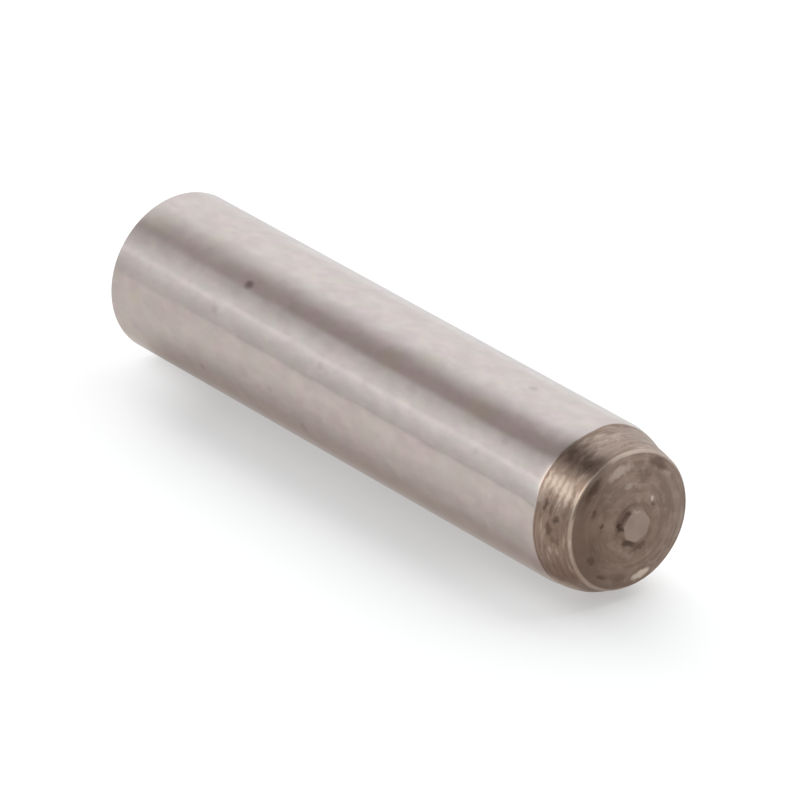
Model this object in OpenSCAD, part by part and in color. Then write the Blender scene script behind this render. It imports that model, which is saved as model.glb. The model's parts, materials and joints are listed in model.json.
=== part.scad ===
// Dowel pin: a hardened steel pin, turned from bar and then ground.
// One end is plain and flat, and the pin stands on it at Z = 0.
// The other end has a tapered lead-in, a rounded rim and a crowned face,
// with the low button that parting off leaves at its centre.
// The whole pin is one revolve about Z, in millimetres.

/* [Shank] */
// Ground diameter, which is the fit size
pin_d = 6; // [4:0.5:12]
// Length from the flat foot to the rim of the crowned end
pin_len = 26; // [12:1:60]
// Leg of the 45 degree edge break round the flat foot
foot_chamfer = 0.25; // [0.1:0.05:0.6]

/* [Lead-in] */
// Length of the tapered lead-in along the pin
lead_len = 1.7; // [0.8:0.1:2]
// Angle between the lead-in and the pin's axis
lead_angle = 15; // [10:1:25]
// Radius that blends the ground shank into the lead-in
shoulder_r = 2.4; // [1:0.1:3]
// Radius of the rounded rim between the lead-in and the crown
rim_round = 0.2; // [0.08:0.01:0.25]

/* [Crowned face] */
// Spherical radius of the crowned face
crown_r = 7.4; // [6.5:0.1:12]
// Diameter of the flat top of the centre button
button_d = 1.1; // [0.6:0.1:1.4]
// Height of the button's top above the crown
button_h = 0.08; // [0.04:0.01:0.15]
// Width of the button's sloping flank
flank_w = 0.1; // [0.05:0.01:0.15]
// Width of the shallow valley round the button, from the flank outward
valley_w = 0.2; // [0.15:0.05:0.3]
// Depth of that valley below the crown, at the foot of the flank
valley_depth = 0.04; // [0.02:0.01:0.06]

/* [Hidden] */
$fn = 128;
EDGE_BREAK_ANGLE = 45;

// A blend's arc stands this far proud of the two faces that it joins, and
// is drawn this many degrees past them, so that it crosses each cleanly.
BLEND_LAP = 0.0002;
BLEND_SPARE = 8;

pin_r = pin_d / 2;
foot_r = pin_r - foot_chamfer / tan(EDGE_BREAK_ANGLE);

// Directions square to the lead-in, outward, and along it, upward.
lead_out = [cos(lead_angle), sin(lead_angle)];
lead_up = [-sin(lead_angle), cos(lead_angle)];

// The sharp corners that the shoulder and the rim round off.
shoulder_corner = [pin_r, pin_len - lead_len];
rim_corner = [pin_r - lead_len * tan(lead_angle), pin_len];

// The shoulder's arc touches the shank and the lead-in.
shoulder_centre = [pin_r - shoulder_r,
                   shoulder_corner.y - shoulder_r * tan(lead_angle / 2)];

// The crown's sphere passes through the rim's sharp corner.
crown_centre = [0, rim_corner.y - sqrt(crown_r ^ 2 - rim_corner.x ^ 2)];
crown_top = crown_centre.y + crown_r;

// The rim's arc touches the lead-in's cone and the crown's sphere.
rim_reach = lead_out * (rim_corner - crown_centre) - rim_round;
rim_centre = crown_centre + lead_out * rim_reach
             + lead_up * sqrt((crown_r - rim_round) ^ 2 - rim_reach ^ 2);
crown_edge_angle = atan2(rim_centre.y - crown_centre.y, rim_centre.x);
crown_edge = arc_point(rim_centre, rim_round, crown_edge_angle);

// The button's flank ends at the deepest ring of the valley, which runs out
// on the crown. The flank is drawn on below that ring, into the solid.
button_edge = [button_d / 2, crown_top + button_h];
valley_sphere_r = crown_r - valley_depth;
valley_angle = acos((button_edge.x + flank_w) / valley_sphere_r);
valley_r = (valley_w ^ 2 + valley_depth ^ 2) / (2 * valley_depth);
flank_foot = arc_point(crown_centre, valley_sphere_r, valley_angle);
flank_root = flank_foot + (flank_foot - button_edge) / 2;

// The point of an arc at an angle from the +X direction.
function arc_point(centre, r, angle) = centre + r * [cos(angle), sin(angle)];

// The round part of a blend, from one direction to the other.
module blend(centre, r, from, to) {
    first = from - BLEND_SPARE;
    last = to + BLEND_SPARE;
    past = r + r / cos((last - first) / 2);
    intersection() {
        translate(centre) circle(r + BLEND_LAP);
        polygon([arc_point(centre, r, first), arc_point(centre, past, first),
                 arc_point(centre, past, last), arc_point(centre, r, last)]);
    }
}

// Half of the section up to the crown's edge, with a chord under each blend.
module straight_section() {
    polygon([
        [0, 0],
        [foot_r, 0],
        [pin_r, foot_chamfer],
        arc_point(shoulder_centre, shoulder_r, 0),
        arc_point(shoulder_centre, shoulder_r, lead_angle),
        arc_point(rim_centre, rim_round, lead_angle),
        crown_edge,
        [0, crown_edge.y]
    ]);
}

// Half of the cap that the crown's sphere forms above the rim.
module crown_section() {
    intersection() {
        translate(crown_centre) circle(crown_r);
        translate([0, crown_edge.y]) square([crown_edge.x, crown_r]);
    }
}

// Half of the button, with its flat top and sloping flank.
module button_section() {
    polygon([[0, flank_root.y], flank_root, button_edge, [0, button_edge.y]]);
}

// Half of the pin's section, from the axis outward.
module pin_section() {
    difference() {
        union() {
            straight_section();
            blend(shoulder_centre, shoulder_r, 0, lead_angle);
            blend(rim_centre, rim_round, lead_angle, crown_edge_angle);
            crown_section();
        }
        translate(arc_point(crown_centre, valley_sphere_r + valley_r, valley_angle))
            circle(valley_r);
    }
    button_section();
}

module dowel_pin() {
    color([0.70, 0.67, 0.65])
        rotate_extrude() pin_section();
}

dowel_pin();
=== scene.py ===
"""Dowel pin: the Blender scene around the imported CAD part.

The pin stands on its flat foot at Z = 0, with its crowned end up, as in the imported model. The
photograph shows it lying on a white surface and seen from its crowned end. Here the pin stays
upright instead: that surface is an upright plane that touches the side of the shank, and the
camera is rolled to match.

Values are in metres, except where a comment says millimetres. Directions round the pin are polar
angles in degrees, from +X toward +Y. CAMERA_POLAR is where the camera stands, and a place on the
pin is given as degrees round from there, plus toward the shaded lower side of the photograph.
"""

import json
import math
from collections import namedtuple

import bpy
from mathutils import Matrix, Vector, noise


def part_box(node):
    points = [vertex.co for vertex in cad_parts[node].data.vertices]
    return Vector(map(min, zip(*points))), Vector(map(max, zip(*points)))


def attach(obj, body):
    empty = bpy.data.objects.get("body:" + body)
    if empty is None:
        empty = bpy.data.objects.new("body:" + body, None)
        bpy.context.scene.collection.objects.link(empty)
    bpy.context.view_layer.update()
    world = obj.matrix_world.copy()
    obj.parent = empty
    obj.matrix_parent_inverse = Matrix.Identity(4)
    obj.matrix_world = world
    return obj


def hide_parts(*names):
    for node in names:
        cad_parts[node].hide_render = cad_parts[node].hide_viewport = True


MM = 0.001
UP = Vector((0.0, 0.0, 1.0))


def colour(red, green, blue):
    return (red, green, blue, 1.0)


# --- The pin, with the same named sizes as the CAD source ---------------------------------------
FOOT_CHAMFER = 0.25 * MM
LEAD_LEN = 1.7 * MM
LEAD_ANGLE = math.radians(15)
SHOULDER_R = 2.4 * MM
RIM_ROUND = 0.2 * MM
CROWN_R = 7.4 * MM
BUTTON_D = 1.1 * MM
BUTTON_H = 0.08 * MM
FLANK_W = 0.1 * MM
VALLEY_W = 0.2 * MM
VALLEY_DEPTH = 0.04 * MM

# --- The mesh -----------------------------------------------------------------------------------
SEGMENTS = 384
# How many steps the section takes over each stretch.
STEPS = {
    "foot": 5,
    "foot edge": 5,
    "shank": 12,
    "shoulder": 22,
    "cone": 36,
    "rim": 10,
    "crown": 74,
    "valley": 8,
    "button edge": 6,
    "button": 12,
}
# The small rounds on the foot's two corners and on the button's edge.
FOOT_EDGE_ROUND = 0.05 * MM
BUTTON_EDGE_ROUND = 0.04 * MM
# How much of the foot's and the button's radius is drawn flat, inside those rounds.
FOOT_FLAT = 0.96
BUTTON_FLAT = 0.9

# --- Relief of the turned end -------------------------------------------------------------------
# How far the ground finish runs up the shoulder, how far below that line the relief can start,
# and how far to each side of it the ridges and marks fade in.
GROUND_RUN = 0.575 * MM
RELIEF_RUN = 0.8 * MM
TURNED_FADE = 0.1 * MM
# The ridges that turning left. Each kind has its height in millimetres, how fast it changes round
# the pin, how often it changes in a millimetre, and where its noise starts.
RIDGES = (
    (0.006, 0.8, 4.5, 3.0),
    (0.0025, 2.0, 13.0, 8.0),
)
# How much lower the ridges are on the rim, how uneven the rim is, given as the ridges are, and how
# far to each side it fades.
RIM_WORN = 0.7
RIM_UNEVEN = (0.012, 1.6, 1.0, 21.0)
RIM_FADE = 0.1 * MM
# The radii between which the ridges start outside the button's smooth top.
BUTTON_SMOOTH = (0.50 * MM, 0.70 * MM)
# How the rim and the button are off round. Each takes so much off its radius all round, in
# millimetres, and so much more toward one side and as much less away from it: off all round,
# degrees round from the camera, and off that way. The button has faint corners too: how many,
# where the first one is, and how far they stand out.
RIM_OFF_ROUND = (0.035, 60, 0.075)
BUTTON_OFF_ROUND = (0.0, 110, 0.03)
BUTTON_CORNERS = (7, -30, 0.018)
# The rim's shift starts so far before the rim on the cone, and on the face it is full at the
# second of these radii and gone at the first. The button's has the radii where it starts, is full,
# starts to fade and is gone.
RIM_SHIFT_RUN = 1.0 * MM
RIM_SHIFT_FACE = (1.0 * MM, 2.3 * MM)
BUTTON_SHIFT = (0.0, 0.4 * MM, 0.65 * MM, 1.0 * MM)

# --- Marks on the turned end, as the photograph shows them --------------------------------------
# Each mark has its surface, its radius on the face or height on the cone, its degrees round from
# the camera, its half width and half length, how far it stands proud, and how far it lightens the
# colour above 0 or darkens it below 0. Most marks are bare metal and stains; where a mark is
# painted light or shade, a comment above it says so. Lengths are in millimetres.
Mark = namedtuple("Mark", "surface at degrees half_across half_along proud tone")
MARKS_WITH_PAINTED_LIGHT = (
    Mark("face", 1.12, -98, 0.12, 0.12, -0.010, 0.7),
    Mark("face", 0.98, -108, 0.12, 0.14, -0.008, -0.5),
    Mark("face", 1.38, 26, 0.14, 0.20, -0.010, -0.7),
    Mark("face", 1.84, 10, 0.16, 0.22, -0.010, -0.55),
    Mark("face", 2.16, 92, 0.15, 0.30, -0.010, -0.55),
    Mark("face", 2.02, 67, 0.20, 0.34, -0.006, -0.5),
    Mark("face", 2.15, 142, 0.27, 0.60, -0.006, 1.0),
    Mark("face", 2.12, -40, 0.26, 0.70, 0.004, 0.45),
    Mark("face", 1.92, -28, 0.30, 0.26, 0.003, 0.12),
    Mark("face", 2.14, -101, 0.14, 0.28, 0.002, 0.3),
    Mark("face", 2.34, -10, 0.32, 0.74, -0.004, -0.65),
    Mark("face", 2.26, -86, 0.32, 0.62, -0.004, -0.55),
    # Painted shade in the valley round the button, toward its lower side, together with dirt.
    Mark("face", 0.66, 32, 0.12, 0.32, -0.012, -0.9),
    Mark("face", 0.70, 108, 0.15, 0.56, -0.010, -0.75),
    Mark("face", 0.86, 144, 0.18, 0.50, -0.006, -0.6),
    # A painted highlight along the upper edge of the button.
    Mark("face", 0.57, -52, 0.06, 0.34, 0.0, 0.35),
    Mark("face", 1.74, -70, 0.34, 0.52, -0.003, -0.42),
    Mark("face", 1.50, -46, 0.16, 0.24, 0.002, 0.35),
    Mark("face", 1.98, 112, 0.34, 0.62, -0.003, -0.32),
    Mark("face", 0.98, 120, 0.14, 0.24, -0.004, -0.45),
    Mark("face", 1.76, 48, 0.18, 0.62, -0.002, -0.28),
    Mark("face", 1.27, 8, 0.16, 0.60, -0.002, -0.22),
    Mark("face", 2.28, -158, 0.20, 1.15, 0.002, 0.35),
    Mark("cone", 24.92, 18, 0.16, 0.26, -0.008, -0.6),
    Mark("cone", 24.90, 8, 0.12, 0.32, -0.006, -0.5),
    Mark("cone", 25.40, 24, 0.18, 0.28, -0.008, -0.45),
    Mark("cone", 25.20, 33, 0.17, 0.36, -0.006, -0.3),
    # A painted dark reflection on the lead-in, deepening the dark patch of the studio card that it
    # mirrors.
    Mark("cone", 25.10, -23, 0.80, 0.54, -0.004, -0.36),
    Mark("cone", 25.60, -24, 0.50, 0.46, -0.004, -0.26),
    Mark("cone", 24.78, -22, 0.36, 0.50, -0.004, -0.18),
    # Bare streaks with a painted highlight over them, where the lead-in mirrors the studio's bright
    # patch.
    Mark("cone", 25.20, 1, 0.90, 0.62, 0.003, 0.36),
    Mark("cone", 24.64, 0, 0.10, 0.60, 0.003, 0.5),
    Mark("cone", 24.86, 0, 0.12, 0.56, 0.003, 0.4),
    Mark("cone", 25.12, 0, 0.11, 0.50, 0.004, 0.3),
    Mark("cone", 25.36, 4, 0.13, 0.56, 0.004, 0.4),
    Mark("cone", 25.60, 6, 0.13, 0.52, 0.004, 0.4),
    Mark("cone", 25.84, 5, 0.10, 0.52, 0.003, 0.5),
    # A painted highlight low on the lead-in's lower side, where it mirrors the pin's shadow.
    Mark("cone", 24.70, 92, 1.00, 1.10, 0.002, 0.9),
    # A painted highlight beside the bright streaks, near the shank.
    Mark("cone", 24.70, 13, 0.26, 0.46, 0.002, 0.4),
    # Painted shade over the lead-in's lower side, where it mirrors the pin's shadow.
    Mark("cone", 25.45, 33, 0.75, 0.66, -0.003, -0.3),
    Mark("cone", 25.24, 48, 0.15, 0.16, 0.004, 0.4),
    Mark("cone", 24.84, -47, 0.13, 0.40, 0.004, 0.5),
    Mark("cone", 25.04, -56, 0.13, 0.40, 0.004, 0.4),
)
# The lower side of the lead-in stands proud and the upper side is a little flat.
LOWER_BULGE = Mark("cone", 25.35, 88, 1.0, 2.4, 0.08, 0.0)
UPPER_FLAT = Mark("cone", 24.75, -84, 0.8, 2.0, -0.05, 0.0)
# How far the edges of the marks wander, in millimetres, how often in a millimetre across the mark
# and along it, and where the noise along it starts. A mark is full out to this part of its half
# width and length.
RAGGED = 0.07
RAGGED_ACROSS = 7.0
RAGGED_ALONG = 5.0
RAGGED_ALONG_START = Vector((9.0, 0.0, 0.0))
MARK_CORE = 0.3

# --- Spots on the shank, as the photograph shows them -------------------------------------------
# Dark spots: height in millimetres, degrees round from the camera, radius in millimetres and
# strength.
SHANK_SPOTS = (
    (6.95, -15, 0.25, 0.95),
    (5.50, 57, 0.20, 0.35),
    (20.75, -53.5, 0.22, 0.32),
    (11.40, 61, 0.26, 0.35),
    (11.60, 67, 0.40, 0.18),
    (9.75, 43, 0.20, 0.20),
    (6.06, 11, 0.22, 0.20),
    (12.20, 9, 0.22, 0.18),
    (21.00, 8.4, 0.20, 0.18),
    (22.00, -6.6, 0.20, 0.16),
)
# Faint olive stains, given the same way.
SHANK_HAZE = (
    (1.16, -24, 0.80, 0.5),
    (4.06, -32, 0.65, 0.5),
    (7.32, -26, 0.60, 0.5),
    (15.02, -17, 0.60, 0.6),
    (20.06, -18, 0.85, 0.6),
    (16.56, -31, 0.60, 0.4),
    (1.66, 32, 0.50, 0.5),
)
# How wide a spot is round the pin for each millimetre of its length along it, how far its edge
# wanders, with that noise's scale and detail, and the part of its radius where it is full.
SPOT_SQUEEZE = 0.75
SPOT_WANDER = 0.12
SPOT_WANDER_SCALE = 4.0
SPOT_WANDER_DETAIL = 2.0
SPOT_CORE = 0.15

# --- The steel's colours ------------------------------------------------------------------------
GROUND = colour(0.660, 0.598, 0.586)
GROUND_DULL = colour(0.596, 0.544, 0.532)
GROUND_GREY = colour(0.612, 0.582, 0.558)
GROUND_OLIVE = colour(0.62, 0.585, 0.50)
# The ground steel's colour drifts between these two casts, which multiply it.
CAST_LILAC = colour(1.0, 0.985, 1.004)
CAST_OLIVE = colour(1.0, 1.015, 0.996)
SPOT = colour(0.30, 0.26, 0.25)
TURNED = colour(0.375, 0.28, 0.23)
# A lighter copy of TURNED: painted light for the lead-in's upper side.
TURNED_PAINTED_LIGHTER = colour(0.43, 0.34, 0.295)
TURNED_DULL = colour(0.29, 0.215, 0.17)
# Bare metal, and the colour of the painted highlights on the turned end.
BARE_AND_PAINTED_HIGHLIGHT = colour(0.69, 0.60, 0.52)
TURNED_DARK = colour(0.17, 0.12, 0.09)
FACE = colour(0.315, 0.235, 0.193)
FACE_LIGHT = colour(0.40, 0.315, 0.27)
FACE_DARK = colour(0.235, 0.172, 0.138)
# Painted shade for the face's lower side.
FACE_PAINTED_SHADE = colour(0.165, 0.118, 0.092)
BUTTON = colour(0.36, 0.285, 0.245)
# Stains, and the colour of the painted shade and painted dark reflections on the turned end.
STAIN_AND_PAINTED_SHADE = colour(0.09, 0.06, 0.045)

# --- The steel's finish, in millimetres ---------------------------------------------------------
# The least distance from the axis that the directions from it are worked out with.
LEAST_RADIUS = 0.02
# The line where the grinding stops: how far it is askew and toward which side, and how far it
# wanders. It dips toward the shank at these degrees round from the camera, by half widths in
# degrees and by depths.
GROUND_ASKEW = 0.05
GROUND_ASKEW_TOWARD = 90
GROUND_WANDER = 0.06
GROUND_DIPS = (
    (-90, 46, 0.17),
    (-5, 26, 0.08),
)
# Where the turned finish starts and is full past that line, and where its torn edge fades.
TURNED_START = (-0.03, 0.04)
TORN_EDGE = (0.02, 0.10)
# How far before the crown the face's finish starts, and how far to each side the rim's starts.
FACE_LEAD = 0.11
RIM_BLUR = 0.04
# The radii between which the button's finish ends, and the valley's starts and ends.
BUTTON_END = (0.50, 0.60)
VALLEY_START = (0.52, 0.62)
VALLEY_END = (0.66, 0.90)

# Noise drawn out round the axis: how fast it changes round, how fast across, its detail and its
# roughness.
RING_NOISES = {
    "broad": (1.0, 2.6, 2.0, 0.6),
    "coarse": (1.4, 6.0, 3.0, 0.6),
    "fine": (1.6, 16.0, 3.0, 0.6),
    "flecks": (5.0, 5.0, 2.0, 0.5),
}
# Noise in space: how far it is moved, how fast it changes each way, and its scale, detail and
# roughness.
HERE = (0.0, 0.0, 0.0)
ALL_WAYS = (1.0, 1.0, 1.0)
DRAWN_LONG = (1.0, 1.0, 0.6)
SPACE_NOISES = {
    "blotches": (HERE, ALL_WAYS, 0.8, 3.0, 0.55),
    "clouds": (HERE, ALL_WAYS, 2.4, 3.0, 0.6),
    "grain": (HERE, ALL_WAYS, 9.0, 3.0, 0.6),
    "mottled": (HERE, DRAWN_LONG, 1.9, 2.0, 0.5),
    "waves": (HERE, DRAWN_LONG, 0.9, 1.0, 0.4),
    "hazy": ((7.0, 3.0, 0.0), ALL_WAYS, 1.1, 2.0, 0.5),
    "drift": ((0.0, 11.0, 5.0), ALL_WAYS, 1.3, 1.0, 0.5),
}
# Layers of colour: the noise, its values where the layer starts and is full, the layer's strength
# and its colour.
SHANK_LAYERS = (
    ("mottled", 0.32, 0.68, 1.0, GROUND),
    ("hazy", 0.46, 0.62, 0.5, GROUND_GREY),
)
CONE_LAYERS = (
    ("broad", 0.58, 0.38, 0.65, TURNED_DULL),
    ("coarse", 0.56, 0.34, 0.35, TURNED_DARK),
    ("fine", 0.52, 0.74, 0.3, BARE_AND_PAINTED_HIGHLIGHT),
    ("flecks", 0.56, 0.68, 0.5, TURNED_DARK),
    ("flecks", 0.44, 0.30, 0.4, BARE_AND_PAINTED_HIGHLIGHT),
)
FACE_LAYERS = (
    ("broad", 0.38, 0.62, 1.0, FACE),
    ("coarse", 0.56, 0.34, 0.3, FACE_DARK),
    ("fine", 0.52, 0.74, 0.35, FACE_LIGHT),
    ("flecks", 0.56, 0.70, 0.4, FACE_DARK),
    ("clouds", 0.52, 0.66, 0.4, FACE_DARK),
    ("clouds", 0.48, 0.34, 0.4, FACE_LIGHT),
)
# The drift's values between which the cast changes.
CAST_DRIFT = (0.40, 0.60)
# The cone is painted lighter toward its upper side, a painted highlight where it mirrors the
# bright studio: degrees round from the camera, and the cosines of the angle from there where that
# starts and is full.
PAINTED_LIGHT_TOWARD = -75
PAINTED_LIGHT_RUN = (0.0, 0.9)
# The face has painted shade toward its lower side, where it mirrors the pin's shadow: degrees
# round from the camera, and the distances from the axis that way where that starts and is full.
PAINTED_SHADE_TOWARD = 48
PAINTED_SHADE_RUN = (0.3, 2.4)
# The strengths of the layers that follow the pin's shape and its marks: the torn edge, the rim's
# bare metal and painted highlight, the face's painted shade, the valley's painted shade and dirt,
# the plain button, and the bare metal and painted highlights of the marks.
TORN_EDGE_DARK = 0.12
RIM_BARE_AND_HIGHLIGHT = 0.4
SIDE_PAINTED_SHADE = 0.75
VALLEY_SHADE_AND_DIRT = 0.45
BUTTON_PLAIN = 0.85
BARE_AND_HIGHLIGHT_STRENGTH = 0.9

# The roughness where its noise is 0 and where it is 1.
GROUND_ROUGHNESS = (0.11, 0.19)
TURNED_ROUGHNESS = (0.30, 0.42)
RIM_ROUGHNESS = 0.26
# How much rougher the shank is toward the foot, and the heights where that starts and is full.
FOOT_ROUGHER = 0.06
FOOT_ROUGHER_RUN = (9.0, 0.0)
# How far the mirrored shapes are drawn out, and which way, as grinding and turning leave them.
ANISOTROPY = 0.85
ANISOTROPY_TURN = 0.25
# The bumps' unit of height, in metres, and how high each kind is in it.
BUMP_UNIT = 0.004 * MM
WAVES_BUMP = 5.0
GRAIN_BUMP = 0.03
FINE_BUMP = 0.35

# --- The camera, from a fit of the pin's outline in the photograph ------------------------------
CAMERA_POLAR = 7.24
CAMERA_ELEVATION = 46.31
CAMERA_DISTANCE = 0.3307
CAMERA_ROLL = -119.29
CAMERA_AIM = Vector((-0.0001, 0.000145, 0.01334))
# The lens and the sensor's width are in millimetres.
CAMERA_LENS = 428.84
CAMERA_SENSOR = 36.0
CAMERA_CLIP = (0.01, 10.0)

# --- The surface that the pin lies against ------------------------------------------------------
SURFACE_POLAR = -45.0
SURFACE_SIZE = 0.5
SURFACE_SEEN = colour(0.885, 0.90, 0.905)
SURFACE_REFLECTED = colour(0.61, 0.60, 0.575)
SURFACE_REFLECTED_BEYOND = colour(0.67, 0.675, 0.68)
GLOW_SEEN = colour(1, 1, 1)
GLOW_REFLECTED = colour(0.76, 0.67, 0.65)
GLOW_REFLECTED_BESIDE = colour(0.69, 0.572, 0.524)
GLOW_REFLECTED_UNDER = colour(0.86, 0.80, 0.77)
GLOW_REFLECTED_BEYOND = colour(0.76, 0.745, 0.74)
# How far across the surface, from the line where the pin touches it, each of those starts and is
# full. Plus is the side that the shadow falls on. Beyond the pin is the side that the top of the
# picture shows.
BESIDE = (3.8 * MM, 2.9 * MM)
UNDER = (2.4 * MM, 1.5 * MM)
BEYOND = (-2 * MM, -10 * MM)
# The glow that the steel mirrors is dimmer toward the pin's foot and brighter toward its crowned
# end, by these factors, between two heights, which fall by so much for each distance across.
GLOW_AT_FOOT = 0.90
GLOW_AT_CROWN = 1.12
GLOW_RUN = (2 * MM, 26 * MM)
GLOW_SLOPE = 1.08
# How much of the surface's look is a plain glow, which keeps the shadow from going dark.
SURFACE_LIFT = 0.39
# How much more of it is glow beside the pin's foot and beside its crowned end, where the shadow
# thins out, with the heights and the distances across where that starts and is full. The foot's
# heights are those at one distance across, and rise by so much for each distance past it.
LIFT_AT_FOOT = 0.42
FOOT_LIFT_HEIGHT = (5.5 * MM, -0.5 * MM)
FOOT_LIFT_HEIGHT_AT = 2 * MM
FOOT_LIFT_SLOPE = 0.7
FOOT_LIFT_ACROSS = (0.0, 2.4 * MM)
LIFT_AT_CROWN = 0.16
CROWN_LIFT_HEIGHT = (18 * MM, 26 * MM)
CROWN_LIFT_ACROSS = (1.2 * MM, 3.0 * MM)

# --- The studio ---------------------------------------------------------------------------------
AMBIENT_LEVEL = 0.52
# The key's direction: degrees round from square to the surface, and up. Its level is the light it
# gives the surface.
KEY_TURN = -35.5
KEY_ELEVATION = -31.0
KEY_DISTANCE = 0.25
KEY_SIZE = (0.25, 0.80)
KEY_LEVEL = 1.95

# The card's distance from the pin's middle, the degrees between its points, and how far it runs, in
# degrees round from the camera and up.
CARD_DISTANCE = 0.12
CARD_STEP = 2
CARD_AZIMUTH = (-140, 44)
CARD_ELEVATION = (-80, 88)
# What the steel mirrors beside plain white. Each patch has the degrees round from the camera where
# it starts, is full, starts to fade and ends, the same for its elevation, and its colour.
STUDIO_PATCHES = (
    ((-150, -142, -90, -60), (-80, -76, -6, 10), (1.02, 1.0, 0.99)),
    ((-150, -140, -128, -108), (-80, -76, -6, 10), (0.94, 0.92, 0.91)),
    ((-44, -36, -20, 18), (-80, -76, -6, 10), (0.57, 0.55, 0.54)),
    ((-78, -36, -28, -18), (-59, -51.5, 0, 15), (0.405, 0.35, 0.34)),
    ((6, 38, 44, 46), (-80, -76, -6, 10), (0.65, 0.63, 0.61)),
    ((-26, 4, 6, 16), (-49.5, -42, -6, 10), (0.90, 0.885, 0.87)),
    ((4, 7.5, 10.5, 14), (-80, -76, -6, 10), (1.04, 1.02, 1.02)),
    ((-4, 43, 44, 46), (-80, -76, -48, -44), (0.65, 0.63, 0.61)),
    ((35, 38, 41, 44), (-80, -76, -6, 10), (0.60, 0.58, 0.56)),
    ((-61, -50, -34, -20), (-20, -12, 8, 20), (0.18, 0.165, 0.15)),
    ((-20, -8, 8, 24), (-23, -10, 16, 30), (1.80, 1.70, 1.58)),
    ((-100, -50, 44, 46), (14, 34, 90, 92), (0.26, 0.23, 0.21)),
)


def polar(degrees, radius=1.0, height=0.0):
    """The point at a polar angle round the pin's axis."""
    angle = math.radians(degrees)
    return Vector((radius * math.cos(angle), radius * math.sin(angle), height))


def smooth(low, high, value):
    """0 below low, 1 above high, with a smooth step between."""
    t = min(max((value - low) / (high - low), 0.0), 1.0)
    return t * t * (3 - 2 * t)


def trapezoid(value, start, full, fading, end):
    """0 outside start and end, 1 between full and fading, and smooth between."""
    return smooth(start, full, value) * (1 - smooth(fading, end, value))


# --- Profile ------------------------------------------------------------------------------------
def arc_point(centre, radius, angle):
    return (centre[0] + radius * math.cos(angle), centre[1] + radius * math.sin(angle))


def direction(start, end):
    """The angle of the way from one point to another."""
    return math.atan2(end[1] - start[1], end[0] - start[0])


def arc(centre, radius, start, end, steps):
    """Points along an arc, both ends included."""
    angles = [start + (end - start) * i / steps for i in range(steps + 1)]
    return [arc_point(centre, radius, angle) for angle in angles]


def line(start, end, steps):
    """Points along a line, both ends included."""
    return [
        (start[0] + (end[0] - start[0]) * i / steps, start[1] + (end[1] - start[1]) * i / steps)
        for i in range(steps + 1)
    ]


def fillet(before, corner, after, radius, steps):
    """Points of the small arc that rounds a sharp corner of the profile."""
    c = Vector(corner)
    a = (Vector(before) - c).normalized()
    b = (Vector(after) - c).normalized()
    half = a.angle(b) / 2
    reach = radius / math.tan(half)
    middle = c + (a + b).normalized() * (radius / math.sin(half))
    first = (c + a * reach - middle).normalized()
    last = (c + b * reach - middle).normalized()
    return [tuple(middle + first.slerp(last, i / steps) * radius) for i in range(steps + 1)]


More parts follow.
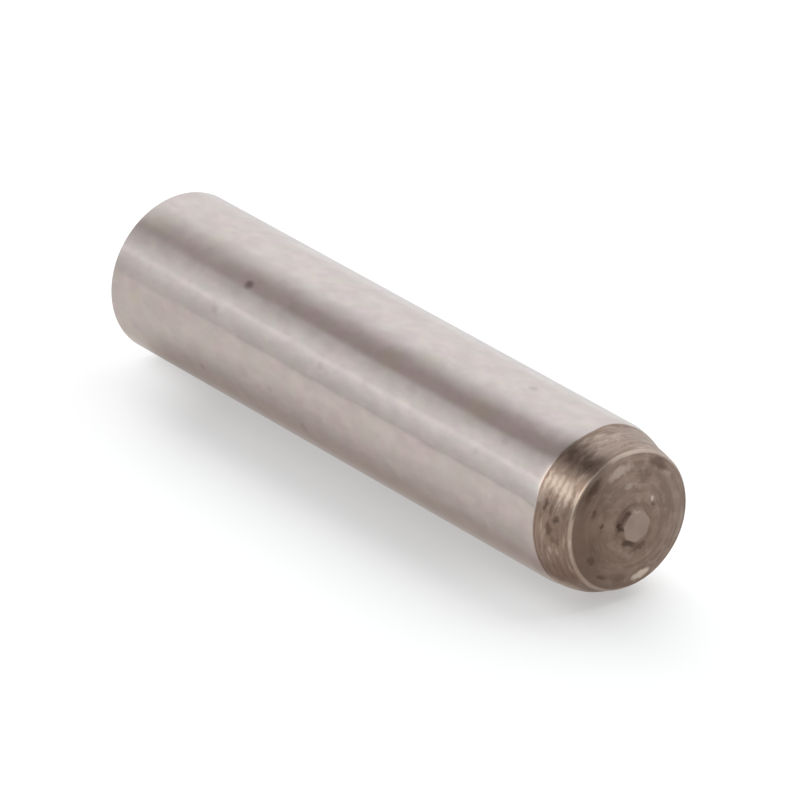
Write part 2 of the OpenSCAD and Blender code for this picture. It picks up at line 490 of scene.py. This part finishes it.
class PinProfile:
    """The pin's plain section, as (radius, height) points.

    A place along the skin is its height less its radius, which rises steadily from the shank over
    the lead-in and in to the middle of the crown."""

    def __init__(self, pin_r, top):
        """top is the height of the button's top."""
        self.pin_r = pin_r
        self.top = top
        rim_corner_r = pin_r - LEAD_LEN * math.tan(LEAD_ANGLE)
        crown_rise = CROWN_R - math.sqrt(CROWN_R**2 - rim_corner_r**2)
        rim_z = top - BUTTON_H - crown_rise
        shoulder_z = rim_z - LEAD_LEN - SHOULDER_R * math.tan(LEAD_ANGLE / 2)
        self.shoulder_centre = (pin_r - SHOULDER_R, shoulder_z)
        self.crown_centre = (0.0, rim_z + crown_rise - CROWN_R)
        self.rim_centre = self.fit_rim((rim_corner_r, rim_z))
        self.crown_edge_angle = direction(self.crown_centre, self.rim_centre)
        self.cone_top = arc_point(self.rim_centre, RIM_ROUND, LEAD_ANGLE)
        crown_edge = arc_point(self.rim_centre, RIM_ROUND, self.crown_edge_angle)
        # The height where the ground finish ends, and the places along where the rim starts and
        # ends.
        self.ground_end = shoulder_z + GROUND_RUN
        self.rim_start = self.cone_top[1] - self.cone_top[0]
        self.rim_end = crown_edge[1] - crown_edge[0]

    def fit_rim(self, corner):
        """The centre of the rim's arc, which touches the lead-in's cone and the crown's sphere."""
        centre = self.crown_centre
        out = Vector((math.cos(LEAD_ANGLE), math.sin(LEAD_ANGLE)))
        up = Vector((-math.sin(LEAD_ANGLE), math.cos(LEAD_ANGLE)))
        reach = out.dot(Vector((corner[0] - centre[0], corner[1] - centre[1]))) - RIM_ROUND
        rise = math.sqrt((CROWN_R - RIM_ROUND) ** 2 - reach**2)
        return Vector(centre) + out * reach + up * rise

    def points(self):
        """The section, from the foot's centre round to the button's centre."""
        foot_edge = (self.pin_r - FOOT_CHAMFER, 0.0)
        chamfer_edge = (self.pin_r, FOOT_CHAMFER)
        shank_start = (self.pin_r, FOOT_CHAMFER + 2 * FOOT_EDGE_ROUND)
        shank_end = (self.pin_r, self.shoulder_centre[1])
        cone_foot = arc_point(self.shoulder_centre, SHOULDER_R, LEAD_ANGLE)
        rim_angles = (LEAD_ANGLE, self.crown_edge_angle)

        points = line((0.0, 0.0), (foot_edge[0] * FOOT_FLAT, 0.0), STEPS["foot"])
        rounding = (FOOT_EDGE_ROUND, STEPS["foot edge"])
        points += fillet((0.0, 0.0), foot_edge, chamfer_edge, *rounding)
        points += fillet(foot_edge, chamfer_edge, shank_end, *rounding)
        points += line(shank_start, shank_end, STEPS["shank"])[1:]
        points += arc(self.shoulder_centre, SHOULDER_R, 0.0, LEAD_ANGLE, STEPS["shoulder"])[1:]
        points += line(cone_foot, self.cone_top, STEPS["cone"])[1:]
        points += arc(self.rim_centre, RIM_ROUND, *rim_angles, STEPS["rim"])[1:]
        return points + self.crown_points()

    def crown_points(self):
        """The crown, the valley and the button, from the rim inward."""
        button_middle = (0.0, self.top)
        button_edge = (BUTTON_D / 2, self.top)
        button_flat = (button_edge[0] * BUTTON_FLAT, self.top)
        floor_r = CROWN_R - VALLEY_DEPTH
        floor_angle = math.acos((button_edge[0] + FLANK_W) / floor_r)
        flank_foot = arc_point(self.crown_centre, floor_r, floor_angle)
        valley_r = (VALLEY_W**2 + VALLEY_DEPTH**2) / (2 * VALLEY_DEPTH)
        valley_centre = arc_point(self.crown_centre, floor_r + valley_r, floor_angle)
        crown_end_angle = math.acos((flank_foot[0] + VALLEY_W) / CROWN_R)
        valley_edge = arc_point(self.crown_centre, CROWN_R, crown_end_angle)
        crown_angles = (self.crown_edge_angle, crown_end_angle)
        valley_angles = [direction(valley_centre, end) for end in (valley_edge, flank_foot)]

        points = arc(self.crown_centre, CROWN_R, *crown_angles, STEPS["crown"])[1:]
        points += arc(valley_centre, valley_r, *valley_angles, STEPS["valley"])[1:]
        rounding = (BUTTON_EDGE_ROUND, STEPS["button edge"])
        points += fillet(flank_foot, button_edge, button_middle, *rounding)
        points += line(button_flat, button_middle, STEPS["button"])[1:]
        return points


# --- Relief of the turned end, its bare and stained places, and its painted light and shade -----
def ring_noise(angle, along, turn, fine, start):
    """Noise from -1 to 1 drawn out round the axis.

    turn is how fast it changes round, fine how often in a millimetre, and start where it starts."""
    across = along / MM * fine + start
    return noise.noise(Vector((math.cos(angle) * turn, math.sin(angle) * turn, across)))


def mark_cover(mark, radius, height, angle, ragged=0.0):
    """How fully a mark covers a place, from 0 to 1. ragged is how far its edge wanders, in mm."""
    across = (radius if mark.surface == "face" else height) / MM - mark.at
    turn = math.degrees(angle) - CAMERA_POLAR - mark.degrees
    turn = (turn + 180) % 360 - 180
    round_by = math.radians(turn) * radius / MM
    if abs(across) > mark.half_across + ragged or abs(round_by) > mark.half_along + 2 * ragged:
        return 0.0
    if ragged:
        where = Vector((radius * math.cos(angle), radius * math.sin(angle), height)) / MM
        across += ragged * noise.noise(where * RAGGED_ACROSS)
        round_by += 2 * ragged * noise.noise(where * RAGGED_ALONG + RAGGED_ALONG_START)
    off_centre = math.hypot(across / mark.half_across, round_by / mark.half_along)
    return 1 - smooth(MARK_CORE, 1.0, off_centre)


class TurnedEnd:
    """The shape, stains, bare metal and painted light of the turned end, at places on the plain
    profile.
    """

    def __init__(self, profile):
        self.ground_end = profile.ground_end
        self.rim_start = profile.rim_start
        self.rim_end = profile.rim_end

    def marks_at(self, radius, height, angle):
        surface = "face" if height - radius > self.rim_end else "cone"
        for mark in MARKS_WITH_PAINTED_LIGHT:
            if mark.surface == surface:
                yield mark, mark_cover(mark, radius, height, angle, RAGGED)

    def relief(self, radius, height, angle):
        """How far the skin stands out from the plain profile."""
        if height < self.ground_end - RELIEF_RUN:
            return 0.0
        along = height - radius
        off_button = smooth(*BUTTON_SMOOTH, radius)
        rim = smooth(self.rim_start - RIM_FADE, self.rim_start, along)
        rim *= 1 - smooth(self.rim_end, self.rim_end + RIM_FADE, along)
        ridges = sum(high * ring_noise(angle, along, *kind) for high, *kind in RIDGES)
        high, *kind = RIM_UNEVEN
        uneven = high * ring_noise(angle, 0.0, *kind)
        rise = ridges * (1 - RIM_WORN * rim) * off_button + uneven * rim
        for mark, cover in self.marks_at(radius, height, angle):
            rise += mark.proud * cover
        rise *= smooth(self.ground_end - TURNED_FADE, self.ground_end + TURNED_FADE, height)
        for mark in (LOWER_BULGE, UPPER_FLAT):
            rise += mark.proud * mark_cover(mark, radius, height, angle) * off_button
        return rise * MM

    def off_round(self, radius, height, angle):
        """How far the skin is shifted outward, because rim and button aren't quite round."""
        if height < self.ground_end:
            return 0.0
        on_rim = smooth(self.rim_start - RIM_SHIFT_RUN, self.rim_start, height - radius)
        on_rim *= smooth(*RIM_SHIFT_FACE, radius)
        on_button = trapezoid(radius, *BUTTON_SHIFT)
        shift = 0.0
        for cover, off_round in ((on_rim, RIM_OFF_ROUND), (on_button, BUTTON_OFF_ROUND)):
            all_round, degrees, that_way = off_round
            turn = angle - math.radians(CAMERA_POLAR + degrees)
            shift -= cover * (all_round + that_way * math.cos(turn))
        corners, degrees, stand_out = BUTTON_CORNERS
        turn = angle - math.radians(CAMERA_POLAR + degrees)
        shift += on_button * stand_out * math.cos(corners * turn)
        return shift * MM

    def tone(self, radius, height, angle):
        """Above 0 for bare metal and painted highlights, below 0 for stains, painted shade and dark
        reflections.
        """
        marks = self.marks_at(radius, height, angle)
        total = sum(mark.tone * cover for mark, cover in marks)
        return max(-1.0, min(1.0, total))


# --- Mesh ---------------------------------------------------------------------------------------
def ring_normals(points):
    """The profile's outward direction at each point between its ends, as (radial, up)."""
    normals = []
    for i in range(1, len(points) - 1):
        along = Vector(points[i + 1]) - Vector(points[i - 1])
        normals.append(Vector((along.y, -along.x)).normalized())
    return normals


def skin_vertex(radius, height, normal, angle, skin):
    """A vertex of the skin, its bare metal, stains and painted light, and its place on the plain
    profile, in mm.
    """
    rise = skin.relief(radius, height, angle)
    out = radius + normal.x * rise + skin.off_round(radius, height, angle)
    place = (out * math.cos(angle), out * math.sin(angle), height + normal.y * rise)
    return place, skin.tone(radius, height, angle), radius / MM, (height - radius) / MM


def axis_vertex(height):
    """The vertex at an end of the profile, on the axis, with the same values as the others."""
    return (0.0, 0.0, height), 0.0, 0.0, height / MM


def lathe_faces(rings):
    """The faces between so many rings of vertices and a vertex on the axis at each end."""
    last = 1 + rings * SEGMENTS
    faces = []
    for i in range(SEGMENTS):
        j = (i + 1) % SEGMENTS
        faces.append((0, 1 + j, 1 + i))
        for low in range(1, last - SEGMENTS, SEGMENTS):
            high = low + SEGMENTS
            faces.append((low + i, low + j, high + j, high + i))
        faces.append((last - SEGMENTS + i, last - SEGMENTS + j, last))
    return faces


def revolve(name, points, skin):
    """A closed mesh of revolution about Z, with the skin's relief.

    The first and last points lie on the axis. The mesh's attributes hold each place's bare metal,
    stains and painted light and shade, and each point's place on the plain profile."""
    rings = list(zip(points[1:-1], ring_normals(points)))
    rows = [axis_vertex(points[0][1])]
    for (radius, height), normal in rings:
        for i in range(SEGMENTS):
            angle = 2 * math.pi * i / SEGMENTS
            rows.append(skin_vertex(radius, height, normal, angle, skin))
    rows.append(axis_vertex(points[-1][1]))
    vertices, *values = zip(*rows)

    mesh = bpy.data.meshes.new(name)
    mesh.from_pydata(vertices, [], lathe_faces(len(rings)))
    mesh.polygons.foreach_set("use_smooth", [True] * len(mesh.polygons))
    for title, numbers in zip(("worn_stained_and_painted_light", "plain_radius", "along"), values):
        mesh.attributes.new(title, "FLOAT", "POINT").data.foreach_set("value", numbers)
    mesh.update()
    return add_object(name, mesh)


def add_object(name, data):
    """A new object in the scene."""
    made = bpy.data.objects.new(name, data)
    bpy.context.scene.collection.objects.link(made)
    return made


# --- Materials ----------------------------------------------------------------------------------
class Graph:
    """A new material, with short calls for building its nodes."""

    def __init__(self, name):
        self.material = bpy.data.materials.new(name)
        self.material.use_nodes = True
        self.tree = self.material.node_tree
        self.tree.nodes.clear()

    def node(self, kind, inputs=None, **settings):
        made = self.tree.nodes.new("ShaderNode" + kind)
        for key, value in settings.items():
            setattr(made, key, value)
        for key, value in (inputs or {}).items():
            self.feed(made.inputs[key], value)
        return made

    def feed(self, socket, value):
        if isinstance(value, bpy.types.NodeSocket):
            self.tree.links.new(value, socket)
        else:
            socket.default_value = value

    def finish(self, shader):
        """The material, with this shader on its surface."""
        self.node("OutputMaterial", {"Surface": shader})
        return self.material

    def math(self, operation, a, b=0.0):
        return self.node("Math", {0: a, 1: b}, operation=operation).outputs[0]

    def add(self, a, b):
        return self.math("ADD", a, b)

    def subtract(self, a, b):
        return self.math("SUBTRACT", a, b)

    def multiply(self, a, b):
        return self.math("MULTIPLY", a, b)

    def step(self, low, high, value):
        """0 at low, 1 at high, with a smooth step between. low may be the greater."""
        inputs = {"Value": value, "From Min": low, "From Max": high}
        return self.node("MapRange", inputs, interpolation_type="SMOOTHSTEP").outputs["Result"]

    def mix(self, factor, a, b):
        """A colour between a and b."""
        made = self.node("Mix", data_type="RGBA")
        self.feed(made.inputs[0], factor)
        self.feed(made.inputs[6], a)
        self.feed(made.inputs[7], b)
        return made.outputs[2]

    def tinted(self, base, cover, strength, tint):
        """A colour, mixed toward a tint where the cover is."""
        return self.mix(self.multiply(cover, strength), base, tint)

    def blend(self, factor, a, b):
        """A number between a and b."""
        made = self.node("Mix", data_type="FLOAT")
        self.feed(made.inputs[0], factor)
        self.feed(made.inputs[2], a)
        self.feed(made.inputs[3], b)
        return made.outputs[0]

    def vector(self, x, y, z):
        return self.node("CombineXYZ", {0: x, 1: y, 2: z}).outputs[0]

    def vectors(self, operation, a, b):
        """A vector from two vectors."""
        return self.node("VectorMath", {0: a, 1: b}, operation=operation).outputs[0]

    def measure(self, operation, a, b):
        """A number from two vectors."""
        return self.node("VectorMath", {0: a, 1: b}, operation=operation).outputs["Value"]

    def scaled(self, vector, factor):
        return self.node("VectorMath", {0: vector, 3: factor}, operation="SCALE").outputs[0]

    def noise(self, vector, scale, detail, roughness):
        inputs = {"Vector": vector, "Scale": scale, "Detail": detail, "Roughness": roughness}
        return self.node("TexNoise", inputs).outputs["Fac"]

    def attribute(self, name, output="Fac"):
        return self.node("Attribute", attribute_name=name).outputs[output]


class SteelGraph(Graph):
    """The pin's steel: where a place lies on the pin, in millimetres, its noises and its finish."""

    def __init__(self, name, profile):
        super().__init__(name)
        self.pin_r = profile.pin_r / MM
        self.place = self.scaled(self.node("TexCoord").outputs["Object"], 1 / MM)
        self.x, self.y, self.z = self.node("SeparateXYZ", {0: self.place}).outputs
        squares = self.add(self.multiply(self.x, self.x), self.multiply(self.y, self.y))
        # Held off 0, so that the directions from the axis stay sound on it.
        radius = self.math("MAXIMUM", self.math("SQRT", squares), LEAST_RADIUS)
        self.east = self.math("DIVIDE", self.x, radius)
        self.north = self.math("DIVIDE", self.y, radius)
        self.plain_r = self.attribute("plain_radius")
        self.along = self.attribute("along")
        self.noises = self.make_noises()

        past = self.subtract(self.z, self.ground_line(profile.ground_end / MM))
        self.turned = self.step(*TURNED_START, past)
        self.torn_edge = self.subtract(1.0, self.step(*TORN_EDGE, past))
        rim_start, rim_end = profile.rim_start / MM, profile.rim_end / MM
        self.face = self.step(rim_end - FACE_LEAD, rim_end, self.along)
        past_cone = self.step(rim_start - RIM_BLUR, rim_start + RIM_BLUR, self.along)
        self.rim = self.multiply(past_cone, self.subtract(1.0, self.face))

    def make_noises(self):
        """The noises by name."""
        noises = {}
        for title, (turn, fine, *kind) in RING_NOISES.items():
            where = self.vector(
                self.multiply(self.east, turn),
                self.multiply(self.north, turn),
                self.multiply(self.along, fine),
            )
            noises[title] = self.noise(where, 1.0, *kind)
        for title, (moved, drawn, *kind) in SPACE_NOISES.items():
            where = self.vectors("MULTIPLY", self.vectors("ADD", self.place, moved), drawn)
            noises[title] = self.noise(where, *kind)
        return noises

    def toward(self, degrees):
        """The cosine of the angle between a place's direction from the axis and the given one."""
        way = polar(CAMERA_POLAR + degrees)
        return self.add(self.multiply(self.east, way.x), self.multiply(self.north, way.y))

    def ground_line(self, height):
        """The height where the grinding stops, which is askew, dips and wanders."""
        askew = self.multiply(self.toward(GROUND_ASKEW_TOWARD), GROUND_ASKEW)
        level = self.add(height, askew)
        for degrees, half_width, depth in GROUND_DIPS:
            dip = self.step(math.cos(math.radians(half_width)), 1.0, self.toward(degrees))
            level = self.subtract(level, self.multiply(dip, depth))
        wander = self.multiply(self.subtract(self.noises["blotches"], 0.5), GROUND_WANDER)
        return self.add(level, wander)

    def layered(self, base, layers):
        """A colour with layers over it that follow the noises."""
        for title, start, full, strength, tint in layers:
            base = self.tinted(base, self.step(start, full, self.noises[title]), strength, tint)
        return base

    def spots(self, named):
        """How fully any of the named spots covers a place."""
        inputs = {
            "Vector": self.place,
            "Scale": SPOT_WANDER_SCALE,
            "Detail": SPOT_WANDER_DETAIL,
        }
        wander = self.node("TexNoise", inputs).outputs["Color"]
        wander = self.scaled(self.vectors("SUBTRACT", wander, (0.5, 0.5, 0.5)), SPOT_WANDER)
        place = self.vectors("ADD", self.place, wander)
        place = self.vectors("MULTIPLY", place, (1.0, 1.0, SPOT_SQUEEZE))
        total = 0.0
        for height, degrees, size, strength in named:
            at = polar(CAMERA_POLAR + degrees, self.pin_r, height * SPOT_SQUEEZE)
            distance = self.measure("DISTANCE", place, at)
            cover = self.multiply(self.step(size, size * SPOT_CORE, distance), strength)
            total = self.math("MAXIMUM", total, cover)
        return total

    def shank_colour(self):
        """Ground steel, with faint mottling, stains and spots."""
        shank = self.layered(GROUND_DULL, SHANK_LAYERS)
        cast = self.mix(self.step(*CAST_DRIFT, self.noises["drift"]), CAST_LILAC, CAST_OLIVE)
        shank = self.vectors("MULTIPLY", shank, cast)
        shank = self.mix(self.spots(SHANK_HAZE), shank, GROUND_OLIVE)
        return self.mix(self.spots(SHANK_SPOTS), shank, SPOT)

    def cone_colour(self):
        """The turned lead-in, painted lighter toward its upper side, with its torn edge and the
        rim.
        """
        cone = self.mix(self.step(*PAINTED_LIGHT_RUN, self.toward(PAINTED_LIGHT_TOWARD)), TURNED, TURNED_PAINTED_LIGHTER)
        cone = self.layered(cone, CONE_LAYERS)
        cone = self.tinted(cone, self.torn_edge, TORN_EDGE_DARK, TURNED_DARK)
        # The rim: bare metal with a painted highlight along it.
        return self.tinted(cone, self.rim, RIM_BARE_AND_HIGHLIGHT, BARE_AND_PAINTED_HIGHLIGHT)

    def face_colour(self):
        """The crowned face, painted shade on its lower side, dirt and painted shade in the valley,
        the button.
        """
        face = self.layered(FACE_DARK, FACE_LAYERS)
        # Painted shade on the face's lower side.
        lower = polar(CAMERA_POLAR + PAINTED_SHADE_TOWARD)
        down = self.add(self.multiply(self.x, lower.x), self.multiply(self.y, lower.y))
        face = self.tinted(face, self.step(*PAINTED_SHADE_RUN, down), SIDE_PAINTED_SHADE, FACE_PAINTED_SHADE)
        # The valley round the button is darkened: painted shade in the recess, together with dirt.
        past_valley = self.step(*VALLEY_END, self.plain_r)
        past_flank = self.step(*VALLEY_START, self.plain_r)
        valley = self.multiply(past_flank, self.subtract(1.0, past_valley))
        face = self.tinted(face, valley, VALLEY_SHADE_AND_DIRT, FACE_DARK)
        button = self.subtract(1.0, self.step(*BUTTON_END, self.plain_r))
        return self.tinted(face, button, BUTTON_PLAIN, BUTTON)

    def base_colour(self):
        """The shank's colour, and past the grinding the cone's and the face's, with marks and
        painted light.
        """
        end = self.mix(self.face, self.cone_colour(), self.face_colour())
        worn_stained_and_painted_light = self.attribute("worn_stained_and_painted_light")
        # Marks below 0 darken toward stains and painted shade, and marks above 0 lighten toward
        # bare metal and painted highlights.
        end = self.mix(self.step(0.0, 1.0, self.multiply(worn_stained_and_painted_light, -1.0)), end, STAIN_AND_PAINTED_SHADE)
        end = self.tinted(end, self.step(0.0, 1.0, worn_stained_and_painted_light), BARE_AND_HIGHLIGHT_STRENGTH, BARE_AND_PAINTED_HIGHLIGHT)
        return self.mix(self.turned, self.shank_colour(), end)

    def roughness(self):
        ground = self.blend(self.noises["blotches"], *GROUND_ROUGHNESS)
        rougher = self.multiply(self.step(*FOOT_ROUGHER_RUN, self.z), FOOT_ROUGHER)
        turned = self.blend(self.noises["coarse"], *TURNED_ROUGHNESS)
        skin = self.blend(self.turned, self.add(ground, rougher), turned)
        return self.blend(self.rim, skin, RIM_ROUGHNESS)

    def bump(self):
        waves = self.multiply(self.noises["waves"], WAVES_BUMP)
        grain = self.multiply(self.noises["grain"], GRAIN_BUMP)
        fine = self.multiply(self.noises["fine"], FINE_BUMP)
        height = self.blend(self.turned, self.add(waves, grain), fine)
        inputs = {"Strength": 1.0, "Distance": BUMP_UNIT, "Height": height}
        return self.node("Bump", inputs).outputs[0]


def steel_material(profile):
    """Ground steel on the shank, and dull brown turned steel on the lead-in and crowned face."""
    g = SteelGraph("ground_and_turned_steel", profile)
    inputs = {
        "Base Color": g.base_colour(),
        "Metallic": 1.0,
        "Roughness": g.roughness(),
        "Anisotropic": ANISOTROPY,
        "Anisotropic Rotation": ANISOTROPY_TURN,
        "Tangent": g.node("Tangent", direction_type="RADIAL", axis="Z").outputs[0],
        "Normal": g.bump(),
    }
    return g.finish(g.node("BsdfPrincipled", inputs).outputs[0])


def reflected_glow(g, level, across, beyond):
    """The colour of the surface's glow where the steel mirrors it."""
    toward_crown = g.step(*GLOW_RUN, g.add(level, g.multiply(across, GLOW_SLOPE)))
    glow = g.scaled(GLOW_REFLECTED[:3], g.blend(toward_crown, GLOW_AT_FOOT, 1.0))
    # Close to the pin its shadow mirrors browner, and the strip that the pin overhangs paler.
    glow = g.mix(g.step(*BESIDE, across), glow, GLOW_REFLECTED_BESIDE)
    glow = g.mix(g.step(*UNDER, across), glow, GLOW_REFLECTED_UNDER)
    glow = g.scaled(glow, g.blend(toward_crown, 1.0, GLOW_AT_CROWN))
    return g.mix(beyond, glow, GLOW_REFLECTED_BEYOND)


def extra_lift(g, level, across):
    """How much more of the look is glow, beside the pin's foot and beside its crowned end."""
    rise = g.multiply(g.subtract(across, FOOT_LIFT_HEIGHT_AT), FOOT_LIFT_SLOPE)
    by_height = g.step(*FOOT_LIFT_HEIGHT, g.subtract(level, rise))
    beside_foot = g.multiply(by_height, g.step(*FOOT_LIFT_ACROSS, across))
    by_height = g.step(*CROWN_LIFT_HEIGHT, level)
    beside_crown = g.multiply(by_height, g.step(*CROWN_LIFT_ACROSS, across))
    return g.add(g.multiply(beside_foot, LIFT_AT_FOOT), g.multiply(beside_crown, LIFT_AT_CROWN))


def surface_material():
    """The white surface: matt, lifted toward white with the shadow kept, and clear from behind."""
    g = Graph("white_surface")
    path = g.node("LightPath")
    to_camera = path.outputs["Is Camera Ray"]
    geometry = g.node("NewGeometry")
    place = geometry.outputs["Position"]
    level = g.node("SeparateXYZ", {0: place}).outputs[2]
    across = g.measure("DOT_PRODUCT", place, UP.cross(polar(SURFACE_POLAR)))
    beyond = g.step(*BEYOND, across)

    reflected = g.mix(beyond, SURFACE_REFLECTED, SURFACE_REFLECTED_BEYOND)
    matt = g.node("BsdfDiffuse", {"Color": g.mix(to_camera, reflected, SURFACE_SEEN)}).outputs[0]
    tint = g.mix(to_camera, reflected_glow(g, level, across, beyond), GLOW_SEEN)
    glow = g.node("Emission", {"Color": tint, "Strength": 1.0}).outputs[0]
    seen = g.math("MAXIMUM", to_camera, path.outputs["Is Glossy Ray"])
    more = g.multiply(to_camera, extra_lift(g, level, across))
    lift = g.add(g.multiply(seen, SURFACE_LIFT), more)
    front = g.node("MixShader", {0: lift, 1: matt, 2: glow}).outputs[0]
    clear = g.node("BsdfTransparent").outputs[0]
    behind = geometry.outputs["Backfacing"]
    return g.finish(g.node("MixShader", {0: behind, 1: front, 2: clear}).outputs[0])


def card_material():
    """A studio card that glows with the colour in its mesh's "radiance" attribute."""
    g = Graph("studio_card")
    inputs = {"Color": g.attribute("radiance", "Color"), "Strength": 1.0}
    return g.finish(g.node("Emission", inputs).outputs[0])


# --- Stage --------------------------------------------------------------------------------------
def add_surface(pin_r, middle):
    """The white surface, square to SURFACE_POLAR and touching the shank on the far side from it."""
    normal = polar(SURFACE_POLAR)
    across = UP.cross(normal)
    centre = -normal * pin_r + UP * middle
    half = SURFACE_SIZE / 2
    signs = ((-1, -1), (1, -1), (1, 1), (-1, 1))
    corners = [tuple(centre + across * half * i + UP * half * j) for i, j in signs]
    mesh = bpy.data.meshes.new("white_surface")
    mesh.from_pydata(corners, [], [(0, 1, 2, 3)])
    mesh.materials.append(surface_material())
    mesh.update()
    surface = add_object("white_surface", mesh)


def studio_radiance(azimuth, elevation):
    """The colour that the studio shows in a direction, both angles in degrees."""
    shown = Vector((1.0, 1.0, 1.0))
    for sideways, upward, radiance in STUDIO_PATCHES:
        cover = trapezoid(azimuth, *sideways) * trapezoid(elevation, *upward)
        shown = shown.lerp(Vector(radiance), cover)
    return shown


def add_studio_card(middle):
    """The part of the studio that the pin mirrors: part of a sphere, seen by reflections only."""
    columns = range(CARD_AZIMUTH[0], CARD_AZIMUTH[1] + 1, CARD_STEP)
    rows = range(CARD_ELEVATION[0], CARD_ELEVATION[1] + 1, CARD_STEP)
    vertices, radiance, faces = [], [], []
    for azimuth in columns:
        for elevation in rows:
            level = math.radians(elevation)
            reach, rise = CARD_DISTANCE * math.cos(level), CARD_DISTANCE * math.sin(level)
            vertices.append(tuple(polar(CAMERA_POLAR + azimuth, reach, middle + rise)))
            radiance += [*studio_radiance(azimuth, elevation), 1.0]
    for i in range(len(columns) - 1):
        for j in range(len(rows) - 1):
            k = i * len(rows) + j
            faces.append((k, k + 1, k + len(rows) + 1, k + len(rows)))
    mesh = bpy.data.meshes.new("studio_card")
    mesh.from_pydata(vertices, [], faces)
    mesh.attributes.new("radiance", "FLOAT_COLOR", "POINT").data.foreach_set("color", radiance)
    mesh.materials.append(card_material())
    mesh.update()
    card = add_object("studio_card", mesh)
    card.visible_camera = False
    card.visible_diffuse = False
    card.visible_shadow = False


def add_key_light(middle):
    """The soft box that casts the pin's shadow. The steel mirrors the studio card and not this."""
    level = math.radians(KEY_ELEVATION)
    toward = polar(SURFACE_POLAR + KEY_TURN, math.cos(level), math.sin(level))
    data = bpy.data.lights.new("key", "AREA")
    data.shape = "RECTANGLE"
    data.size, data.size_y = KEY_SIZE
    facing = math.cos(math.radians(KEY_TURN)) * math.cos(level)
    data.energy = KEY_LEVEL * math.pi**2 * KEY_DISTANCE**2 / facing
    light = add_object("key", data)
    light.location = toward * KEY_DISTANCE + UP * middle
    light.rotation_euler = toward.to_track_quat("Z", "Y").to_euler()
    light.visible_camera = False
    light.visible_glossy = False


def light_world():
    """A plain white studio all round, which lights matt surfaces at the ambient level."""
    world = bpy.data.worlds.new("white_studio")
    world.use_nodes = True
    nodes, links = world.node_tree.nodes, world.node_tree.links
    level = nodes.new("ShaderNodeMapRange")
    level.inputs["To Min"].default_value = 1.0
    level.inputs["To Max"].default_value = AMBIENT_LEVEL
    links.new(nodes.new("ShaderNodeLightPath").outputs["Is Diffuse Ray"], level.inputs["Value"])
    background = nodes["Background"]
    background.inputs["Color"].default_value = colour(1, 1, 1)
    links.new(level.outputs["Result"], background.inputs["Strength"])
    bpy.context.scene.world = world


def add_camera():
    """The camera at the photograph's viewing angle."""
    elevation = math.radians(CAMERA_ELEVATION)
    back = polar(CAMERA_POLAR, math.cos(elevation), math.sin(elevation))
    level_right = UP.cross(back).normalized()
    level_up = back.cross(level_right)
    roll = math.radians(CAMERA_ROLL)
    up = level_up * math.cos(roll) + level_right * math.sin(roll)
    right = up.cross(back)
    data = bpy.data.cameras.new("camera")
    data.lens = CAMERA_LENS
    data.sensor_width = CAMERA_SENSOR
    data.clip_start, data.clip_end = CAMERA_CLIP
    camera = add_object("camera", data)
    turn = Matrix((right, up, back)).transposed().to_4x4()
    camera.matrix_world = Matrix.Translation(CAMERA_AIM + back * CAMERA_DISTANCE) @ turn
    bpy.context.scene.camera = camera


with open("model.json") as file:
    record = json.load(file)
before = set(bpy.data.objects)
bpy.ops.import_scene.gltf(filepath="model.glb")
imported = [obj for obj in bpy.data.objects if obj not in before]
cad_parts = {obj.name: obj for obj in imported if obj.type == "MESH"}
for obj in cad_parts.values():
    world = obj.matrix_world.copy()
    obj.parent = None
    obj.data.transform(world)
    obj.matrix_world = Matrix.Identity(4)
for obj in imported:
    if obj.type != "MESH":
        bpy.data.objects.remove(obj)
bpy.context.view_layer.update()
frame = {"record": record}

foot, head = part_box("dowel_pin")
shank = next(m for m in frame["record"]["mounts"] if m["name"] == "shank")
pin_r = shank["dims"]["r_mm"] * MM
middle = (foot.z + head.z) / 2

add_camera()
light_world()
add_surface(pin_r, middle)
add_key_light(middle)
add_studio_card(middle)

profile = PinProfile(pin_r, head.z)
pin = revolve("steel_pin", profile.points(), TurnedEnd(profile))
pin.data.materials.append(steel_material(profile))
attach(pin, "root")
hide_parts("dowel_pin")

bpy.context.scene.view_settings.view_transform = "Standard"
